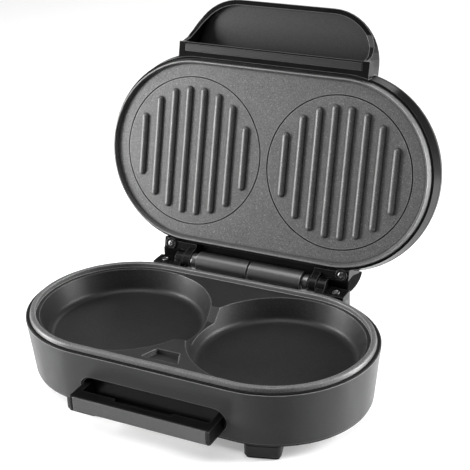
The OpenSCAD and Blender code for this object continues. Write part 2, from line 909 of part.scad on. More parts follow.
module lid_shell() color("black") opened() difference() {
    union() {
        difference() {
            lid_solid();
            racetrack()
                translate([0, -0.1])
                    lid_section(lid_wall, lid_wall);
        }
        // Posts that the lamp holder hangs from
        for (side = [-1, 1])
            translate([side * holder_post_x, lamp_y, crown_z - lens_h])
                cylinder(r = holder_post_r, h = lens_h - 1);
        // Posts that the plate and its frame are screwed to
        intersection() {
            at_corners(lid_post)
                translate([0, 0, frame_z + frame_t])
                    cylinder(r = post_r, h = crown_z - frame_z - frame_t);
            lid_solid();
        }
    }
    at_corners(lid_post)
        translate([0, 0, frame_z])
            cylinder(r = thread_r + thread_gap, h = thread_l + 2);
    for (side = [-1, 1]) {
        translate([side * lamp_x, lamp_y, crown_z - lens_h])
            cylinder(r = lamp_r + 0.1, h = lens_h + 4);
        translate([side * screw_x, arm_screw_y, lid_z])
            cylinder(r = small_shaft_r + thread_gap, h = small_shaft_l + 4);
    }
}

module lid_frame() color("black") opened() difference() {
    racetrack()
        polygon([
            [frame_r - frame_w, frame_z], [frame_r, frame_z],
            [frame_r, frame_z + frame_t], [frame_r - frame_w, frame_z + frame_t]
        ]);
    at_corners(lid_post)
        translate([0, 0, frame_z - 1])
            cylinder(r = thread_r + 2 * thread_gap, h = frame_t + 2);
}

// Rib along Y with round ends, half sunk in the plate
module rib(half) {
    body = half - rib_w / 2;
    rotate([90, 0, 0])
        cylinder(r = rib_w / 2, h = 2 * body, center = true, $fn = 48);
    for (side = [-1, 1])
        translate([0, side * body, 0])
            sphere(rib_w / 2, $fn = 48);
}

module upper_plate() color("gray") opened() difference() {
    union() {
        racetrack()
            polygon([
                [0, field_z], [lip_inner_r - 1, field_z], [lip_inner_r, lip_z + 0.6],
                [lip_inner_r + lip_lean, lip_z], [lip_inner_r + lip_lean + lip_crest, lip_z],
                [lip_r, lip_z + lip_slope], [lip_r, plate_back_z], [0, plate_back_z]
            ]);
        for (side = [-1, 1], i = [0:rib_count - 1])
            let (u = (i - (rib_count - 1) / 2) * rib_pitch)
            translate([side * end_x + u, 0, field_z])
                rib(sqrt(rib_reach * rib_reach - u * u));
    }
    for (side = [-1, 1])
        translate([side * end_x, 0, field_z])
            rotate_extrude($fn = 180)
                translate([circle_r - scribe_w / 2, -1])
                    square([scribe_w, 1 + scribe_d]);
    racetrack()
        translate([0, plate_back_z])
            square([lip_r + 1, rib_w]);
    at_corners(lid_post)
        translate([0, 0, plate_back_z - 1.4])
            cylinder(r = thread_r + thread_gap, h = 5);
}

module upper_heaters() color("silver") opened()
    for (side = [-1, 1])
        translate([side * end_x, 0, plate_back_z + heater_r])
            heater(1);

module upper_reflector() color("silver") opened() {
    difference() {
        racetrack()
            polygon([
                [0, upper_reflector_z], [reflector_r, upper_reflector_z],
                [reflector_r, upper_reflector_z + reflector_t],
                [0, upper_reflector_z + reflector_t]
            ]);
        at_corners(lid_post)
            translate([0, 0, upper_reflector_z - 1])
                cylinder(r = post_r + post_gap, h = 3);
    }
    // Legs that stand on the frame
    at_corners([end_x, frame_r - frame_w + 4])
        translate([0, 0, frame_z + frame_t])
            cylinder(r = leg_r, h = upper_reflector_z - frame_z - frame_t + 0.1);
}

module upper_fuse() color("white") opened()
    translate([0, upper_fuse_y, plate_back_z + fuse_r])
        fuse();

module upper_plate_screws() color("silver") opened()
    at_corners(lid_post)
        translate([0, 0, frame_z - 1])
            cylinder(r = thread_r, h = thread_l);

// Side profile of the scoop: its mouth rises from the cross bar to the tip
module hood_side() {
    polygon([
        [-hood_back, lid_z], [-cross_front, lid_z],
        [-cross_front - 3, lid_z + 8], [-cross_front - 9, lid_z + 14.5],
        [-cross_front - 17, mouth_z - 1.5], [-hood_front - 1, mouth_z],
        [-hood_front - 1, hood_top_z + 3], [-hood_back, hood_top_z + 3]
    ]);
}

// Bar across the scoop's root, in front of the lid's wall
module cross_bar() {
    translate([-cross_half, -cross_front, lid_z])
        cube([2 * cross_half, cross_front - hood_back, cross_h]);
}

module lid_handle() color("black") opened() difference() {
    intersection() {
        hull() {
            translate([0, 0, lid_z - 1])
                linear_extrude(1)
                    polygon(hood_outline(1.5));
            translate([0, 0, hood_floor_z - 3])
                linear_extrude(1)
                    polygon(hood_outline(0));
            translate([0, 0, hood_top_z - 0.1])
                linear_extrude(0.1)
                    polygon(hood_outline(2.4));
        }
        along_x(-hood_half - 1, hood_half + 1)
            hood_side();
    }
    translate([0, 0, lid_z - 2])
        linear_extrude(hood_floor_z - lid_z + 2)
            polygon(hood_outline(hood_wall + 1));
    cross_bar();
    lid_space();
}

module lid_handle_bar() color("black") opened() difference() {
    cross_bar();
    lid_space();
    translate([-strip_half, -cross_front + strip_inset, lid_z - 1])
        cube([2 * strip_half, cross_d - 2 * strip_inset, 1 + strip_t]);
}

module lid_handle_strip() color("gray") opened()
    translate([-strip_half, -cross_front + strip_inset, lid_z - strip_rise])
        cube([2 * strip_half, cross_d - 2 * strip_inset, strip_t + strip_rise]);

// Arm that joins the lid to its pin: knuckle, web, flange on the lid's wall and screw boss
module hinge_arm() difference() {
    union() {
        hinge_rod(knuckle_x, knuckle_x + knuckle_l, knuckle_r);
        along_x(knuckle_x, knuckle_x + knuckle_l)
            polygon([
                [hinge_y - 5.6, hinge_z - 3], [hinge_y + 3, hinge_z + 5.5],
                [arm_y, lid_z + arm_h], [arm_root, lid_z + arm_h], [arm_root, lid_z + 0.3],
                [lid_r, lid_z + 0.3]
            ]);
        along_x(knuckle_x, arm_end)
            polygon([
                [arm_root, lid_z], [arm_y - 0.5, lid_z], [arm_y, lid_z + 6],
                [arm_y, lid_z + arm_h], [arm_root, lid_z + arm_h]
            ]);
        translate([screw_x, arm_screw_y, lid_z])
            cylinder(r = boss_r, h = boss_h);
    }
    lid_space();
    hinge_rod(knuckle_x - 1, knuckle_x + knuckle_l + 1, pin_r + pin_gap);
    translate([screw_x, arm_screw_y, lid_z - 1])
        cylinder(r = small_shaft_r + 2 * thread_gap, h = boss_h + 2);
}

module hinge_arm_left() color("black") opened() mirror([1, 0, 0]) hinge_arm();
module hinge_arm_right() color("black") opened() hinge_arm();

module arm_screws() color("silver") opened()
    for (side = [-1, 1])
        translate([side * screw_x, arm_screw_y, lid_z])
            screw(small_shaft_r, small_shaft_l, small_head_r, small_head_h);

module lamp_holder() color("ivory") opened()
    translate([-holder[0] / 2, lamp_y - holder[1] / 2, crown_z - lens_h - holder[2]])
        cube(holder);

// Lens of one lamp, from its holder out through the crown
module lamp_lens() opened()
    translate([0, lamp_y, crown_z - lens_h]) {
        cylinder(r = lamp_r, h = lens_h + lens_rise - lens_bevel);
        translate([0, 0, lens_h + lens_rise - lens_bevel])
            cylinder(r1 = lamp_r, r2 = lamp_r - lens_bevel, h = lens_bevel);
    }

module power_lamp_lens() color("red") translate([-lamp_x, 0, 0]) lamp_lens();
module ready_lamp_lens() color("green") translate([lamp_x, 0, 0]) lamp_lens();

base_shell();
bottom_cover();
base_rim();
rim_gasket();
lower_plate();
lower_heaters();
lower_reflector();
thermostat();
lower_fuse();
terminal_block();
plate_screws();
cover_screws();
feet();
foot_pads();
base_handle();
base_handle_band();
hinge_barrel_left();
hinge_barrel_right();
hinge_bracket_left();
hinge_bracket_right();
hinge_collar_left();
hinge_collar_right();
hinge_pin_left();
hinge_pin_right();
bracket_screws();
cord_bush();
lid_shell();
lid_frame();
upper_plate();
upper_heaters();
upper_reflector();
upper_fuse();
upper_plate_screws();
lid_handle();
lid_handle_bar();
lid_handle_strip();
hinge_arm_left();
hinge_arm_right();
arm_screws();
lamp_holder();
power_lamp_lens();
ready_lamp_lens();
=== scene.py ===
import json
import math

import bmesh
import bpy
from mathutils import Matrix, Vector


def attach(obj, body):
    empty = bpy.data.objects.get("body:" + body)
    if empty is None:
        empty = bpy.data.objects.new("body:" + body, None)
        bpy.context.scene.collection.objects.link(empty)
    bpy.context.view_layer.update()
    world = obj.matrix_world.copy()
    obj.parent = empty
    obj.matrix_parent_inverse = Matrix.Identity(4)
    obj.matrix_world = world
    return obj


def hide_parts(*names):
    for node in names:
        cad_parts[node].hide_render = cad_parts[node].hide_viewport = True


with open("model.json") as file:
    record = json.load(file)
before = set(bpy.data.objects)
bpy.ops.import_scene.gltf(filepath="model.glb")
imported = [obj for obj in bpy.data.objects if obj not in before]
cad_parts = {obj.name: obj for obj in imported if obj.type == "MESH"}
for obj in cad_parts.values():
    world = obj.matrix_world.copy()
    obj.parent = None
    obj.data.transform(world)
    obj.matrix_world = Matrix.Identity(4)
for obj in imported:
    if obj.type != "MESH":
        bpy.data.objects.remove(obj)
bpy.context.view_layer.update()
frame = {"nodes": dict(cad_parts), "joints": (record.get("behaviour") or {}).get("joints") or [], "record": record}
MM = 0.001

# Camera at the photograph's angle
AZIMUTH = 27.36
ELEVATION = 24.73
ROLL = -1.85
DISTANCE = 0.8445
TARGET = Vector((0.00838, 0.04223, 0.09997))
LENS = 93.8
SENSOR = 36.0
SHIFT = Vector((-0.0004, 0.0))

# The lid's turn about the hinge
HINGE = Vector(frame["joints"][0]["pos_m"])
CLOSING_ANGLE = math.radians(104)
OPENING = Matrix.Rotation(-CLOSING_ANGLE, 3, "X")

# Places on the shut part, in millimetres
WELL_X = 58
SCOOP_FLOOR_Z = 78.5
SCOOP_FLOOR_MARGIN = 0.4
SCRIBED_R = 55
SCRIBED_W = 1.1


def standing(x, y, z):
    """A point given in millimetres in the frame."""
    return Vector((x, y, z)) * MM


def opened(x, y, z):
    """Where a point given in millimetres on the shut lid is once the lid stands open."""
    return OPENING @ (standing(x, y, z) - HINGE) + HINGE


def direction(azimuth, elevation):
    """Unit vector towards an azimuth, 0 in front and 90 on the right, and an elevation."""
    az, el = math.radians(azimuth), math.radians(elevation)
    return Vector((math.sin(az) * math.cos(el), -math.cos(az) * math.cos(el), math.sin(el)))


def linked_object(name, data):
    obj = bpy.data.objects.new(name, data)
    bpy.context.scene.collection.objects.link(obj)
    return obj


def photo_camera():
    """Camera with the view fitted to the photograph."""
    roll = math.radians(ROLL)
    back = direction(AZIMUTH, ELEVATION)
    right = (-back).cross(Vector((0, 0, 1))).normalized()
    up = right.cross(-back)
    turned_right = math.cos(roll) * right + math.sin(roll) * up
    turned_up = math.cos(roll) * up - math.sin(roll) * right
    data = bpy.data.cameras.new("camera")
    data.sensor_width = SENSOR
    data.lens = LENS
    data.shift_x, data.shift_y = SHIFT
    camera = linked_object("camera", data)
    rotation = Matrix((turned_right, turned_up, back)).transposed().to_4x4()
    camera.matrix_world = Matrix.Translation(TARGET + back * DISTANCE) @ rotation
    bpy.context.scene.camera = camera


# Sockets of the mix node that carry colours
MIX_ONE = 6
MIX_TWO = 7
MIX_RESULT = 2


def grey(value, warmth=0.0):
    return (value * (1 + warmth), value, value * (1 - warmth))


class Finish:
    """A node material on one Principled shader, in the object's own metres."""

    def __init__(self, name):
        self.material = bpy.data.materials.new(name)
        self.material.use_nodes = True
        self.tree = self.material.node_tree
        self.shader = self.tree.nodes["Principled BSDF"]
        self.place = self.add("ShaderNodeTexCoord").outputs["Object"]

    def add(self, kind, **values):
        node = self.tree.nodes.new(kind)
        for key, value in values.items():
            setattr(node, key, value)
        return node

    def link(self, source, target):
        self.tree.links.new(source, target)

    def fixed(self, **values):
        """Sets shader inputs that stay the same all over the surface."""
        for key, value in values.items():
            self.shader.inputs[key.replace("_", " ")].default_value = value
        return self

    def noise(self, grain_mm, detail=2.0, roughness=0.5, stretch=(1, 1, 1)):
        """Noise whose lumps are about grain_mm across, from 0 to 1."""
        place = self.place
        if stretch != (1, 1, 1):
            mapping = self.add("ShaderNodeMapping")
            mapping.inputs["Scale"].default_value = stretch
            self.link(place, mapping.inputs["Vector"])
            place = mapping.outputs["Vector"]
        node = self.add("ShaderNodeTexNoise")
        node.inputs["Scale"].default_value = 1 / (grain_mm * MM)
        node.inputs["Detail"].default_value = detail
        node.inputs["Roughness"].default_value = roughness
        self.link(place, node.inputs["Vector"])
        return node.outputs["Fac"]

    def ramp(self, source, *stops):
        """Colours between stops of (position, colour)."""
        node = self.add("ShaderNodeValToRGB")
        elements = node.color_ramp.elements
        while len(elements) < len(stops):
            elements.new(0.5)
        for element, (at, colour) in zip(elements, stops):
            element.position = at
            element.color = (*colour, 1)
        self.link(source, node.inputs["Fac"])
        return node.outputs["Color"]

    def blend(self, factor, one, two):
        """Colour one where the factor is 0, colour two where it is 1."""
        node = self.add("ShaderNodeMix", data_type="RGBA")
        self.link(factor, node.inputs["Factor"])
        for source, socket in ((one, node.inputs[MIX_ONE]), (two, node.inputs[MIX_TWO])):
            if isinstance(source, tuple):
                socket.default_value = (*source, 1)
            else:
                self.link(source, socket)
        return node.outputs[MIX_RESULT]

    def math(self, operation, one, two=0):
        node = self.add("ShaderNodeMath", operation=operation)
        for source, socket in zip((one, two), node.inputs):
            if isinstance(source, (int, float)):
                socket.default_value = source
            else:
                self.link(source, socket)
        return node.outputs["Value"]

    def shut_place(self):
        """Place of the surface once the lid is shut, as X, Y and Z."""
        turned = self.add("ShaderNodeVectorRotate", rotation_type="X_AXIS")
        turned.inputs["Center"].default_value = HINGE
        turned.inputs["Angle"].default_value = CLOSING_ANGLE
        self.link(self.place, turned.inputs["Vector"])
        split = self.add("ShaderNodeSeparateXYZ")
        self.link(turned.outputs["Vector"], split.inputs["Vector"])
        return split.outputs["X"], split.outputs["Y"], split.outputs["Z"]

    def scribed_lines(self):
        """1 in the two circles scribed in the upper plate, 0 elsewhere: where shade is painted into the grooves.
        """
        across, along, _ = self.shut_place()
        aside = self.math("SUBTRACT", self.math("ABSOLUTE", across), WELL_X * MM)
        squares = self.math("ADD", self.math("POWER", aside, 2), self.math("POWER", along, 2))
        off = self.math("SUBTRACT", self.math("SQRT", squares), SCRIBED_R * MM)
        return self.math("LESS_THAN", self.math("ABSOLUTE", off), SCRIBED_W * MM / 2)

    def scoop_floor(self):
        """1 on the flat floor of the lid's scoop, 0 elsewhere."""
        height = self.shut_place()[2]
        above = self.math("GREATER_THAN", height, (SCOOP_FLOOR_Z - SCOOP_FLOOR_MARGIN) * MM)
        below = self.math("LESS_THAN", height, (SCOOP_FLOOR_Z + SCOOP_FLOOR_MARGIN) * MM)
        return self.math("MULTIPLY", above, below)

    def flow_marks(self, value):
        """Broad, faint changes of value in moulded plastic."""
        return self.ramp(self.noise(20, 3), (0.35, grey(value * 0.8)), (0.65, grey(value * 1.25)))

    def colour(self, source):
        self.link(source, self.shader.inputs["Base Color"])
        return self

    def rough(self, source, low, high):
        """Roughness from low to high along the source."""
        node = self.add("ShaderNodeMapRange")
        node.inputs["To Min"].default_value = low
        node.inputs["To Max"].default_value = high
        self.link(source, node.inputs["Value"])
        self.link(node.outputs["Result"], self.shader.inputs["Roughness"])
        return self

    def bump(self, source, depth_mm):
        node = self.add("ShaderNodeBump")
        node.inputs["Strength"].default_value = 1.0
        node.inputs["Distance"].default_value = depth_mm * MM
        self.link(source, node.inputs["Height"])
        self.link(node.outputs["Normal"], self.shader.inputs["Normal"])
        return self

    def openness(self, reach_mm, inside):
        """1 where nothing of the piece is within reach_mm outside, or inside, the surface."""
        node = self.add("ShaderNodeAmbientOcclusion", samples=8, inside=inside, only_local=True)
        node.inputs["Distance"].default_value = reach_mm * MM
        return node.outputs["AO"]

    def shaded_creases(self, reach_mm):
        """1 in grooves and inner corners, 0 on flat faces: where shade is painted."""
        return self.ramp(self.openness(reach_mm, False), (0.55, grey(1)), (0.85, grey(0)))

    def edges(self, reach_mm):
        """1 on outer edges, 0 on flat faces: where highlights are painted."""
        return self.ramp(self.openness(reach_mm, True), (0.6, grey(1)), (0.9, grey(0)))

    def painted_shade_and_highlight(self, colour, dark, highlight_colour, crease_mm=1.5, edge_mm=0.6):
        """The colour, with painted shade in its inner corners and painted highlights on its outer edges."""
        # Painted shade goes into grooves and inner corners, a painted highlight onto outer edges.
        darkened = self.blend(self.shaded_creases(crease_mm), colour, dark)
        return self.colour(self.blend(self.edges(edge_mm), darkened, highlight_colour))


def speckled_coating(name, base, speck, edge_highlight, bump_mm, crease_mm=1.6, scribed=False):
    """Sprayed non-stick coating with fine light and dark specks, painted shade in its corners and painted
    highlights on its edges.
    """
    f = Finish(name).fixed(Metallic=0.25, Specular_IOR_Level=0.4)
    cloud = f.ramp(f.noise(11, 4), (0.3, grey(base * 0.92)), (0.7, grey(base * 1.08)))
    specks = f.ramp(f.noise(0.95, 3, 0.7), (0.54, grey(0)), (0.7, grey(0.8)))
    pits = f.ramp(f.noise(0.8, 2, 0.6), (0.32, grey(0.9)), (0.46, grey(0)))
    light = f.blend(specks, cloud, grey(speck))
    pitted = f.blend(pits, light, grey(base * 0.5))
    # Painted shade in the corners and a painted highlight on the edges.
    f.painted_shade_and_highlight(pitted, grey(base * 0.12), grey(edge_highlight), crease_mm, edge_mm=0.8)
    # Painted shade: the scribed grooves are painted near black.
    if scribed:
        coating = f.shader.inputs["Base Color"].links[0].from_socket
        f.colour(f.blend(f.scribed_lines(), coating, grey(base * 0.06)))
    f.rough(f.noise(1.2, 3), 0.36, 0.54)
    f.bump(f.noise(0.9, 3), bump_mm)
    return f.material


def satin_lacquer(name, low, high):
    """Satin black-grey lacquer on sheet metal, with a faint orange peel, painted shade in its corners and painted
    highlights on its edges.
    """
    f = Finish(name).fixed(Metallic=0.06, Specular_IOR_Level=0.16)
    flakes = f.ramp(f.noise(0.4, 2, 0.7), (0.5, grey(0)), (0.8, grey(0.3)))
    body = f.ramp(f.noise(45, 2), (0.3, grey(low, -0.01)), (0.7, grey(high, -0.01)))
    flaked = f.blend(flakes, body, grey(high * 2.4))
    # Painted shade in the corners and a bright painted highlight on the edges.
    f.painted_shade_and_highlight(flaked, grey(low * 0.3), grey(high * 5), crease_mm=1.2, edge_mm=0.5)
    f.rough(f.noise(6, 3), 0.3, 0.38)
    f.bump(f.noise(1.6, 3), 0.012)
    return f.material


def gloss_plastic(name, value=0.005, edge_highlight=0.04, gloss=0.16, rough=(0.16, 0.26)):
    """Polished black moulded plastic with faint flow marks, painted shade in its corners and painted highlights on
    its edges.
    """
    f = Finish(name).fixed(Specular_IOR_Level=gloss)
    # Painted shade in the corners and a painted highlight on the edges.
    f.painted_shade_and_highlight(f.flow_marks(value), grey(value * 0.3), grey(edge_highlight))
    f.rough(f.noise(3.5, 4, 0.65), *rough)
    f.bump(f.noise(2.6, 2), 0.008)
    return f.material


def scoop_plastic(name, value=0.006, floor_value=0.024):
    """Polished black plastic whose scoop is finely grained inside, with a painted highlight on its rim and painted
    shade in its corners.
    """
    f = Finish(name).fixed(Specular_IOR_Level=0.35)
    floor = f.scoop_floor()
    low, high = grey(floor_value * 0.8), grey(floor_value * 1.2)
    grain = f.ramp(f.noise(1.4, 3), (0.3, low), (0.7, high))
    grained = f.blend(floor, f.flow_marks(value), grain)
    # Painted shade in the scoop's corners and a painted highlight, grey 0.14, along its rim and edges.
    f.painted_shade_and_highlight(grained, grey(value * 0.3), grey(0.14), crease_mm=2.2, edge_mm=0.7)
    gloss = f.math("MULTIPLY", f.noise(3.5, 4, 0.65), 0.28)
    f.rough(f.math("MAXIMUM", gloss, floor), 0.1, 0.55)
    f.bump(f.noise(2.6, 2), 0.008)
    return f.material


def grained_plastic(name, value=0.008, edge_highlight=0.05):
    """Black moulded plastic with a fine spark-eroded grain, painted shade in its corners and painted highlights on
    its edges.
    """
    f = Finish(name).fixed(Specular_IOR_Level=0.25)
    grain = f.ramp(f.noise(2.4, 3), (0.3, grey(value * 0.75)), (0.7, grey(value * 1.3)))
    # Painted shade in the corners and a painted highlight on the edges.
    f.painted_shade_and_highlight(grain, grey(value * 0.3), grey(edge_highlight))
    f.rough(f.noise(0.9, 3), 0.34, 0.5)
    f.bump(f.noise(0.45, 2), 0.03)
    return f.material


def rubber(name, value=0.006):
    """Dull black rubber."""
    f = Finish(name).fixed(Specular_IOR_Level=0.15)
    low, high = grey(value * 0.7, 0.02), grey(value * 1.5, 0.02)
    f.colour(f.ramp(f.noise(5, 4), (0.3, low), (0.7, high)))
    f.rough(f.noise(1.5, 3), 0.65, 0.85)
    f.bump(f.noise(0.6, 3), 0.04)
    return f.material


def brushed_metal(name, value, stretch, rough, metallic=1.0, edge_highlight=1.6):
    """Metal brushed along X, or evenly, with painted highlights on its edges and painted shade in its corners."""
    f = Finish(name).fixed(Metallic=metallic)
    lines = f.noise(3.2, 4, 0.7, stretch)
    body = f.ramp(lines, (0.3, grey(value * 0.82)), (0.7, grey(value * 1.15)))
    # Painted highlight along the edges, and painted shade in the corners below.
    highlight_colour = grey(min(1.0, value * edge_highlight))
    f.painted_shade_and_highlight(body, grey(value * 0.2), highlight_colour, crease_mm=1.0, edge_mm=0.5)
    f.rough(lines, *rough)
    f.bump(lines, 0.012)
    return f.material


def heater_metal(name, value):
    """Dull drawn steel with heat stains."""
    f = Finish(name).fixed(Metallic=0.9)
    warm, plain, cold = grey(value * 0.8, 0.06), grey(value), grey(value, -0.05)
    f.colour(f.ramp(f.noise(14, 3), (0.3, warm), (0.6, plain), (0.8, cold)))
    f.rough(f.noise(2, 3), 0.35, 0.6)
    f.bump(f.noise(0.5, 2), 0.02)
    return f.material


def glazed(name, colour):
    """Glazed white ceramic, a little uneven."""
    f = Finish(name).fixed(Specular_IOR_Level=0.5)
    dark = tuple(c * 0.85 for c in colour)
    f.colour(f.ramp(f.noise(6, 3), (0.3, dark), (0.7, colour)))
    f.rough(f.noise(2, 2), 0.25, 0.4)
    f.bump(f.noise(1, 2), 0.02)
    return f.material


def lens(name, colour):
    """Clear tinted lamp lens, a little cloudy inside."""
    f = Finish(name).fixed(Transmission_Weight=0.35, IOR=1.49, Coat_Weight=0.4)
    f.fixed(Coat_Roughness=0.08)
    dark = tuple(c * 0.45 for c in colour)
    f.colour(f.ramp(f.noise(2.2, 3), (0.25, dark), (0.75, colour)))
    f.rough(f.noise(1.5, 2), 0.08, 0.18)
    f.bump(f.noise(0.8, 2), 0.01)
    return f.material


# Stretch of the brushing: finer across than along, or even
FACE_BRUSHED = (1, 10, 10)
ROUND_BRUSHED = (1, 12, 12)

# In the finishes below, the grey set for edges is a painted highlight, and each finish also paints shade into its
# corners.
MATERIALS = {
    "base_paint": satin_lacquer("base_paint", low=0.046, high=0.056),
    "plate_coating": speckled_coating("plate_coating", base=0.105, speck=0.27, edge_highlight=0.34,
                                      bump_mm=0.05, crease_mm=2.8, scribed=True),
    "well_coating": speckled_coating("well_coating", base=0.017, speck=0.045, edge_highlight=0.24,
                                     bump_mm=0.015),
    "gloss_black": gloss_plastic("gloss_black"),
    "matte_black": grained_plastic("matte_black"),
    "rubber": rubber("rubber"),
    "band": brushed_metal("band", 0.085, FACE_BRUSHED, (0.3, 0.42), metallic=0.6, edge_highlight=6.0),
    "strip": brushed_metal("strip", 0.014, FACE_BRUSHED, (0.35, 0.5), metallic=0.2, edge_highlight=1.0),
    "barrel": brushed_metal("barrel", 0.13, ROUND_BRUSHED, (0.26, 0.36), metallic=0.9, edge_highlight=2.6),
    "collar": brushed_metal("collar", 0.16, ROUND_BRUSHED, (0.2, 0.3), metallic=0.9, edge_highlight=3.0),
    "steel": brushed_metal("steel", 0.55, (4, 4, 4), (0.22, 0.36)),
    "dark_screw": brushed_metal("dark_screw", 0.1, (5, 5, 5), (0.22, 0.34), metallic=0.9, edge_highlight=4.0),
    "heater_steel": heater_metal("heater_steel", 0.34),
    "reflector": brushed_metal("reflector", 0.75, (2, 9, 9), (0.2, 0.35)),
    "ceramic": glazed("ceramic", (0.78, 0.75, 0.68)),
    "red_lens": lens("red_lens", (0.55, 0.03, 0.02)),
    "green_lens": lens("green_lens", (0.03, 0.42, 0.08)),
}
RIM_COATING = speckled_coating("rim_coating", base=0.115, speck=0.22, edge_highlight=0.75,
                               bump_mm=0.02, crease_mm=1.0)
SCOOP_BLACK = scoop_plastic("scoop_black")
BAR_BLACK = gloss_plastic("bar_black", value=0.006, edge_highlight=0.14)
HINGE_BLACK = gloss_plastic("hinge_black", value=0.004, edge_highlight=0.05, gloss=0.2, rough=(0.2, 0.32))
EAR_BLACK = gloss_plastic("ear_black", value=0.003, edge_highlight=0.02, gloss=0.01, rough=(0.5, 0.6))
POCKET_BLACK = gloss_plastic("pocket_black", value=0.004, edge_highlight=0.03, gloss=0.12, rough=(0.26, 0.4))
SPECIAL = {
    "lid_handle": SCOOP_BLACK, "lid_handle_bar": BAR_BLACK, "base_handle": POCKET_BLACK,
    "hinge_arm_left": HINGE_BLACK, "hinge_arm_right": HINGE_BLACK,
    "hinge_bracket_left": HINGE_BLACK, "hinge_bracket_right": HINGE_BLACK,
}


def paint(obj, material):
    obj.data.materials.clear()
    obj.data.materials.append(material)


def even_normals(obj):
    normals = obj.modifiers.new("normals", "WEIGHTED_NORMAL")
    normals.keep_sharp = True


def round_edges(obj, width_mm, segments=3, angle=32):
    """Rounds the edges sharper than an angle in degrees."""
    bevel = obj.modifiers.new("bevel", "BEVEL")
    bevel.width = width_mm * MM
    bevel.segments = segments
    bevel.limit_method = "ANGLE"
    bevel.angle_limit = math.radians(angle)
    even_normals(obj)


# Clean-up of the CAD nodes before their edges are rounded
WELD_MM = 0.002
FLAT_ANGLE = 0.6


def soften(obj, width_mm):
    """Rounds the outer edges of a CAD node and shades its curved faces smoothly."""
    weld = obj.modifiers.new("weld", "WELD")
    weld.merge_threshold = WELD_MM * MM
    flat = obj.modifiers.new("flat", "DECIMATE")
    flat.decimate_type = "DISSOLVE"
    flat.angle_limit = math.radians(FLAT_ANGLE)
    if width_mm:
        round_edges(obj, width_mm, segments=2)
    else:
        even_normals(obj)


# Width of the rounded edges of each CAD node, in millimetres
SOFT_EDGES = {
    "base_shell": 0.35, "bottom_cover": 0.3, "base_rim": 0.35, "rim_gasket": 0.15,
    "lower_plate": 0.9, "feet": 1.0, "foot_pads": 0.4, "base_handle": 0.6,
    "base_handle_band": 0.4, "hinge_barrel_left": 0.6, "hinge_barrel_right": 0.6,
    "hinge_bracket_left": 0.5, "hinge_bracket_right": 0.5, "hinge_collar_left": 0.4,
    "hinge_collar_right": 0.4, "cord_bush": 0.6, "lid_shell": 0.35, "lid_frame": 0.3,
    "upper_plate": 0.25, "lid_handle": 0.7, "lid_handle_bar": 0.6, "lid_handle_strip": 0.3,
    "hinge_arm_left": 0.6, "hinge_arm_right": 0.6,
}
SLOT_OF = {row["node"]: row["material_slot"] for row in frame["record"]["subparts"]}


def dress_nodes():
    for name, obj in frame["nodes"].items():
        paint(obj, SPECIAL.get(name, MATERIALS[SLOT_OF[name]]))
        soften(obj, SOFT_EDGES.get(name, 0))


def finished_mesh(build, name):
    """Closes a bmesh into a mesh with its normals outwards."""
    bmesh.ops.remove_doubles(build, verts=build.verts, dist=0.001 * MM)
    bmesh.ops.recalc_face_normals(build, faces=build.faces)
    mesh = bpy.data.meshes.new(name)
    build.to_mesh(mesh)
    build.free()
    return mesh


def new_piece(name, build, slot, body, material=None):
    """A smooth piece made of a bmesh, dressed and riding on a body."""
    mesh = finished_mesh(build, name)
    piece = linked_object(name, mesh)
    paint(piece, material or MATERIALS[slot])
    for face in mesh.polygons:
        face.use_smooth = True
    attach(piece, body)
    return piece


def racetrack_sweep(build, profile, end_x, steps):
    """Sweeps a closed profile of (radius, height) points in millimetres round both wells."""
    stations = []
    for side, start in ((1, -90), (-1, 90)):
        for i in range(steps + 1):
            angle = math.radians(start + 180 * i / steps)
            stations.append([
                build.verts.new(standing(side * end_x + r * math.cos(angle), r * math.sin(angle), z))
                for r, z in profile
            ])
    count = len(profile)
    for here, there in zip(stations, stations[1:] + stations[:1]):
        for i in range(count):
            j = (i + 1) % count
            build.faces.new((here[i], there[i], there[j], here[j]))


def bar_of(build, outline, x0, x1, place):
    """Extrudes a closed (y, z) outline in millimetres along X.

    The function place turns millimetres into a point of the frame."""
    sides = [[build.verts.new(place(x, y, z)) for y, z in outline] for x in (x0, x1)]
    count = len(outline)
    build.faces.new(sides[0][::-1])
    build.faces.new(sides[1])
    for i in range(count):
        j = (i + 1) % count
        build.faces.new((sides[0][i], sides[0][j], sides[1][j], sides[1][i]))


def arc(cy, cz, radius, start, end, steps):
    """Points of an arc in degrees, as (y, z)."""
    angles = (math.radians(start + (end - start) * i / steps) for i in range(steps + 1))
    return [(cy + radius * math.cos(a), cz + radius * math.sin(a)) for a in angles]


# Rim of the base: radii round the wells and heights, in millimetres
RIM_STEPS = 60
RIM_INNER = 62.6
RIM_INNER_ROUND = 0.7
RIM_OUTER_ROUND = 1.3
RIM_OUTER_ROUND_AT = 65.1
RIM_SIDE_BEND = (66.7, 51.6)
RIM_SIDE_FOOT = 66.9
RIM_SKIRT_OUTER = 67.6
RIM_SKIRT_INNER = 66.0
RIM_SKIRT_LOW = 45.5
RIM_FOOT_Z = 50.8
RIM_TOP_Z = 54
PLATE_Z = 50.5


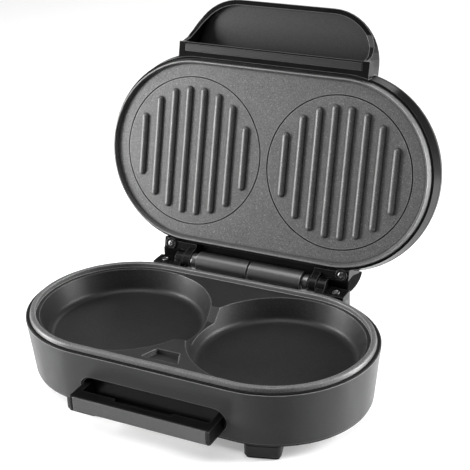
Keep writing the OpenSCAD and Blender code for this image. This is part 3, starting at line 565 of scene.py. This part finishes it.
def rim():
    """Raised band round the wells, with a groove between it and the housing's edge."""
    inner_z, outer_z = RIM_TOP_Z - RIM_INNER_ROUND, RIM_TOP_Z - RIM_OUTER_ROUND
    profile = [(RIM_INNER, PLATE_Z)]
    profile += arc(RIM_INNER + RIM_INNER_ROUND, inner_z, RIM_INNER_ROUND, 180, 90, 4)
    profile += arc(RIM_OUTER_ROUND_AT, outer_z, RIM_OUTER_ROUND, 90, 12, 5)
    profile += [RIM_SIDE_BEND, (RIM_SIDE_FOOT, RIM_FOOT_Z), (RIM_SKIRT_OUTER, RIM_FOOT_Z)]
    profile += [(RIM_SKIRT_OUTER, RIM_SKIRT_LOW), (RIM_SKIRT_INNER, RIM_SKIRT_LOW)]
    profile += [(RIM_SKIRT_INNER, PLATE_Z)]
    build = bmesh.new()
    racetrack_sweep(build, profile, WELL_X, RIM_STEPS)
    piece = new_piece("base_rim_band", build, "plate_coating", "base", RIM_COATING)
    round_edges(piece, 0.12, segments=1, angle=50)
    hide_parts("base_rim")


# Bar of the base handle, in millimetres
BAND_FRONT = -85.2
BAND_T = 1.2
BAND_HALF = 51.3
BAND_LOW = 17.7
BAND_TOP = 27.8
BAND_END_W = 2.0
BAND_GAP = 0.3
BAND_ROUND = 0.5
BAND_END_ROUND = 0.55


def pressed_bar(name, x0, x1, slot, round_mm, material=None):
    """Front of the bar from x0 to x1, with rounded edges."""
    build = bmesh.new()
    back = BAND_FRONT + BAND_T
    outline = [(BAND_FRONT, BAND_LOW), (BAND_FRONT, BAND_TOP), (back, BAND_TOP), (back, BAND_LOW)]
    bar_of(build, outline, x0, x1, standing)
    piece = new_piece(name, build, slot, "base", material)
    round_edges(piece, round_mm)
    return piece


def bar_front():
    """Satin metal face of the bar between its two glossy black ends."""
    inner = BAND_HALF - BAND_END_W - BAND_GAP
    face = pressed_bar("base_handle_face", -inner, inner, "band", BAND_ROUND)
    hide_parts("base_handle_band")
    for side, name in ((-1, "base_handle_end_left"), (1, "base_handle_end_right")):
        x0, x1 = sorted((side * (BAND_HALF - BAND_END_W), side * BAND_HALF))
        pressed_bar(name, x0, x1, "gloss_black", BAND_END_ROUND, BAR_BLACK)


# Lid's side of the hinge: (y, z) outlines and places along X, in millimetres
WEB_HALF = 48.0
WEB_OUTLINE = [
    (69.6, 60.9), (79.6, 60.9), (80.4, 61.6), (80.4, 62.4), (79.6, 63), (74, 64), (70.8, 67),
    (69.6, 67),
]
EAR_X = (61.6, 75.2)
EAR_LOWER_EDGE = [
    (90, 46.6), (95, 46.1), (100, 46.1), (104.5, 46.6), (108.5, 47.9), (111.5, 49.8),
    (113.5, 52.4), (106.5, 54.5), (95, 58),
]
EAR_OUTLINE = [(84.9, 57), (84.9, 49.6), (86.5, 47.8)] + EAR_LOWER_EDGE
EAR_INNER_X = (54.4, 61.5)
EAR_INNER_OUTLINE = [(87.4, 57), (87.4, 47.5)] + EAR_LOWER_EDGE


def hinge_covers():
    """Web over the barrels and the ears that curve down behind the brackets."""
    build = bmesh.new()
    bar_of(build, WEB_OUTLINE, -WEB_HALF, WEB_HALF, opened)
    web = new_piece("lid_hinge_web", build, "gloss_black", "lid")
    round_edges(web, 0.3, segments=2)
    for side, name in ((-1, "hinge_ear_left"), (1, "hinge_ear_right")):
        build = bmesh.new()
        for outline, reach in ((EAR_OUTLINE, EAR_X), (EAR_INNER_OUTLINE, EAR_INNER_X)):
            x0, x1 = sorted(side * x for x in reach)
            bar_of(build, outline, x0, x1, standing)
        ear = new_piece(name, build, "gloss_black", "lid", EAR_BLACK)
        round_edges(ear, 0.7)


# Screw heads: the shares are of the head's radius
HEAD_STEPS = 40
DOME_STEPS = 5
DOME_SHARE = 0.55
CROSS_REACH = 0.66
CROSS_WIDTH = 0.3
CROSS_DEPTH = 0.5
CROSS_ABOVE = 0.3
CROSS_FLARE = 1.25
CROSS_FLOOR_REACH = 0.35
CROSS_FLOOR_WIDTH = 0.7
HEAD_MARGIN = 0.05 * MM


def separate_solids(node):
    """The corner points of each solid of a CAD node."""
    build = bmesh.new()
    build.from_mesh(frame["nodes"][node].data)
    bmesh.ops.remove_doubles(build, verts=build.verts, dist=0.001 * MM)
    left = set(build.verts)
    groups = []
    while left:
        group, reached = [], [left.pop()]
        while reached:
            vert = reached.pop()
            group.append(vert.co.copy())
            for edge in vert.link_edges:
                other = edge.other_vert(vert)
                if other in left:
                    left.remove(other)
                    reached.append(other)
        groups.append(group)
    build.free()

    def middle(points):
        return tuple(round(c, 4) for c in sum(points, Vector()) / len(points))

    return sorted(groups, key=middle)


def turned_mesh(build, profile, steps, place):
    """Adds a closed solid turned from (radius, height) points that start and end on the axis."""
    rings = []
    for radius, height in profile:
        if radius == 0:
            rings.append([build.verts.new(place @ Vector((0, 0, height)))])
            continue
        angles = (2 * math.pi * i / steps for i in range(steps))
        points = (Vector((radius * math.cos(a), radius * math.sin(a), height)) for a in angles)
        rings.append([build.verts.new(place @ point) for point in points])
    for upper, lower in zip(rings, rings[1:]):
        for i in range(steps):
            j = (i + 1) % steps
            corners = [upper[i % len(upper)], lower[i % len(lower)],
                       lower[j % len(lower)], upper[j % len(upper)]]
            build.faces.new(list(dict.fromkeys(corners)))


def cross_cutter(radius, place):
    """Two crossing tapered bars that cut the recess of a screw head."""
    build = bmesh.new()
    upper = (CROSS_ABOVE, CROSS_REACH * CROSS_FLARE, CROSS_WIDTH * CROSS_FLARE)
    lower = (-CROSS_DEPTH, CROSS_REACH * CROSS_FLOOR_REACH, CROSS_WIDTH * CROSS_FLOOR_WIDTH)
    for turn in (0, math.pi / 2):
        spin = place @ Matrix.Rotation(turn, 4, "Z")
        corners = []
        for height, reach, width in (upper, lower):
            for sx, sy in ((-1, -1), (1, -1), (1, 1), (-1, 1)):
                point = Vector((sx * reach, sy * width / 2, height)) * radius
                corners.append(build.verts.new(spin @ point))
        build.faces.new(corners[:4])
        build.faces.new(corners[7:3:-1])
        for i in range(4):
            j = (i + 1) % 4
            build.faces.new((corners[j], corners[i], corners[i + 4], corners[j + 4]))
    return linked_object("cutter", finished_mesh(build, "cutter"))


def recessed(obj, cutters):
    """Cuts every cutter out of the object and removes the cutters."""
    for cutter in cutters:
        cut = obj.modifiers.new("recess", "BOOLEAN")
        cut.operation = "DIFFERENCE"
        cut.solver = "EXACT"
        cut.use_self = True
        cut.object = cutter
    graph = bpy.context.evaluated_depsgraph_get()
    mesh = bpy.data.meshes.new_from_object(obj.evaluated_get(graph))
    obj.modifiers.clear()
    obj.data = mesh
    for cutter in cutters:
        bpy.data.objects.remove(cutter)


def cross_screws(node, body, axis):
    """Screws with domed heads and cross recesses, in the places of a CAD node's screws.

    The axis points out of the heads. Returns the place of each head's seat."""
    axis = Vector(axis).normalized()
    build = bmesh.new()
    cutters = []
    places = []
    for points in separate_solids(node):
        heights = [point.dot(axis) for point in points]
        top, low = max(heights), min(heights)
        cap = [point for point, height in zip(points, heights) if height > top - HEAD_MARGIN]
        middle = sum(cap, Vector()) / len(cap)
        aside = (point - middle for point in points)
        reaches = [(offset - offset.dot(axis) * axis).length for offset in aside]
        radius = max(reaches)
        under = min(height for height, reach in zip(heights, reaches) if reach > 0.9 * radius)
        shaft = max(reach for height, reach in zip(heights, reaches) if height < low + HEAD_MARGIN)
        head = top - under
        place = Matrix.Translation(middle) @ axis.to_track_quat("Z", "Y").to_matrix().to_4x4()
        dome = DOME_SHARE * head
        profile = [(radius * math.sin(t), dome * (math.cos(t) - 1))
                   for t in (math.pi / 2 * i / DOME_STEPS for i in range(DOME_STEPS + 1))]
        profile += [(radius, -head), (shaft, -head), (shaft, low - top), (0, low - top)]
        turned_mesh(build, profile, HEAD_STEPS, place)
        cutters.append(cross_cutter(radius, place))
        places.append(place @ Matrix.Translation((0, 0, -head)))
    screws = new_piece(node + "_turned", build, SLOT_OF[node], body)
    recessed(screws, cutters)
    bevel = screws.modifiers.new("bevel", "BEVEL")
    bevel.width = 0.1 * MM
    bevel.limit_method = "ANGLE"
    bevel.angle_limit = math.radians(50)
    screws.modifiers.new("normals", "WEIGHTED_NORMAL")
    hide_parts(node)
    return places


# Ring round an arm's screw: radius and height above the screw's seat, in millimetres
BOSS_PROFILE = [
    (0, 0.1), (2.9, 0.1), (3.1, 0.85), (3.3, 1), (4.2, 1), (4.55, 0.65), (4.6, -0.4), (0, -0.4),
]


def boss_rings(places):
    """Raised ring round each screw in the arms of the lid."""
    build = bmesh.new()
    profile = [(r * MM, z * MM) for r, z in BOSS_PROFILE]
    for place in places:
        turned_mesh(build, profile, HEAD_STEPS, place)
    piece = new_piece("arm_boss_rings", build, "gloss_black", "lid", BAR_BLACK)
    round_edges(piece, 0.1, segments=2)


def screws():
    boss_rings(cross_screws("arm_screws", "lid", OPENING @ Vector((0, 0, -1))))
    cross_screws("bracket_screws", "base", (0, 0, 1))
    cross_screws("cover_screws", "base", (0, 0, -1))


# Studio: a pale floor, an even dim world and soft lamps
FLOOR_REACH = 12
FLOOR_DROP = 0.0002
FLOOR_GLOW = 0.25
FLOOR_BOUNCE = 0.12
WORLD_LIGHT = 0.12
LIGHT_CENTRE = Vector((0, 0, 0.08))


def add_lamp(name, data, away, distance):
    lamp = linked_object(name, data)
    lamp.location = LIGHT_CENTRE + away * distance
    lamp.rotation_euler = away.to_track_quat("Z", "Y").to_euler()


def softbox(name, azimuth, elevation, distance, size, power):
    data = bpy.data.lights.new(name, "AREA")
    data.shape = "RECTANGLE"
    data.size, data.size_y = size
    data.energy = power
    add_lamp(name, data, direction(azimuth, elevation), distance)


def sun(name, azimuth, elevation, spread, power):
    data = bpy.data.lights.new(name, "SUN")
    data.angle = math.radians(spread)
    data.energy = power
    add_lamp(name, data, direction(azimuth, elevation), 1)


def floor_finish():
    """White to the eye and in reflections, dark to the light that bounces off it."""
    f = Finish("floor").fixed(Specular_IOR_Level=0.4, Emission_Color=(1, 1, 1, 1))
    f.rough(f.noise(40, 2), 0.1, 0.14)
    path = f.add("ShaderNodeLightPath").outputs
    mirrored = f.math("MAXIMUM", path["Is Glossy Ray"], path["Is Transmission Ray"])
    seen = f.math("MAXIMUM", path["Is Camera Ray"], mirrored)
    f.link(f.math("MULTIPLY", seen, FLOOR_GLOW), f.shader.inputs["Emission Strength"])
    pale = f.ramp(f.noise(300, 2), (0.3, grey(0.9)), (0.7, grey(0.92)))
    f.colour(f.blend(seen, grey(FLOOR_BOUNCE), pale))
    return f.material


def floor_and_light():
    mesh = bpy.data.meshes.new("floor")
    build = bmesh.new()
    bmesh.ops.create_grid(build, x_segments=2, y_segments=2, size=FLOOR_REACH)
    build.to_mesh(mesh)
    build.free()
    floor = linked_object("floor", mesh)
    floor.location.z = -FLOOR_DROP
    mesh.materials.append(floor_finish())

    world = bpy.data.worlds.new("studio")
    world.use_nodes = True
    background = world.node_tree.nodes["Background"].inputs
    background["Color"].default_value = (1, 1, 1, 1)
    background["Strength"].default_value = WORLD_LIGHT
    bpy.context.scene.world = world

    sun("overhead", azimuth=-20, elevation=78, spread=50, power=1.6)
    softbox("left", azimuth=-66, elevation=10, distance=0.8, size=(0.25, 0.6), power=15)
    softbox("right", azimuth=112, elevation=10, distance=0.75, size=(0.2, 0.6), power=14)
    softbox("behind", azimuth=190, elevation=40, distance=1.4, size=(0.9, 0.5), power=6)


photo_camera()
dress_nodes()
rim()
bar_front()
hinge_covers()
screws()
floor_and_light()

bpy.context.scene.view_settings.view_transform = "Standard"
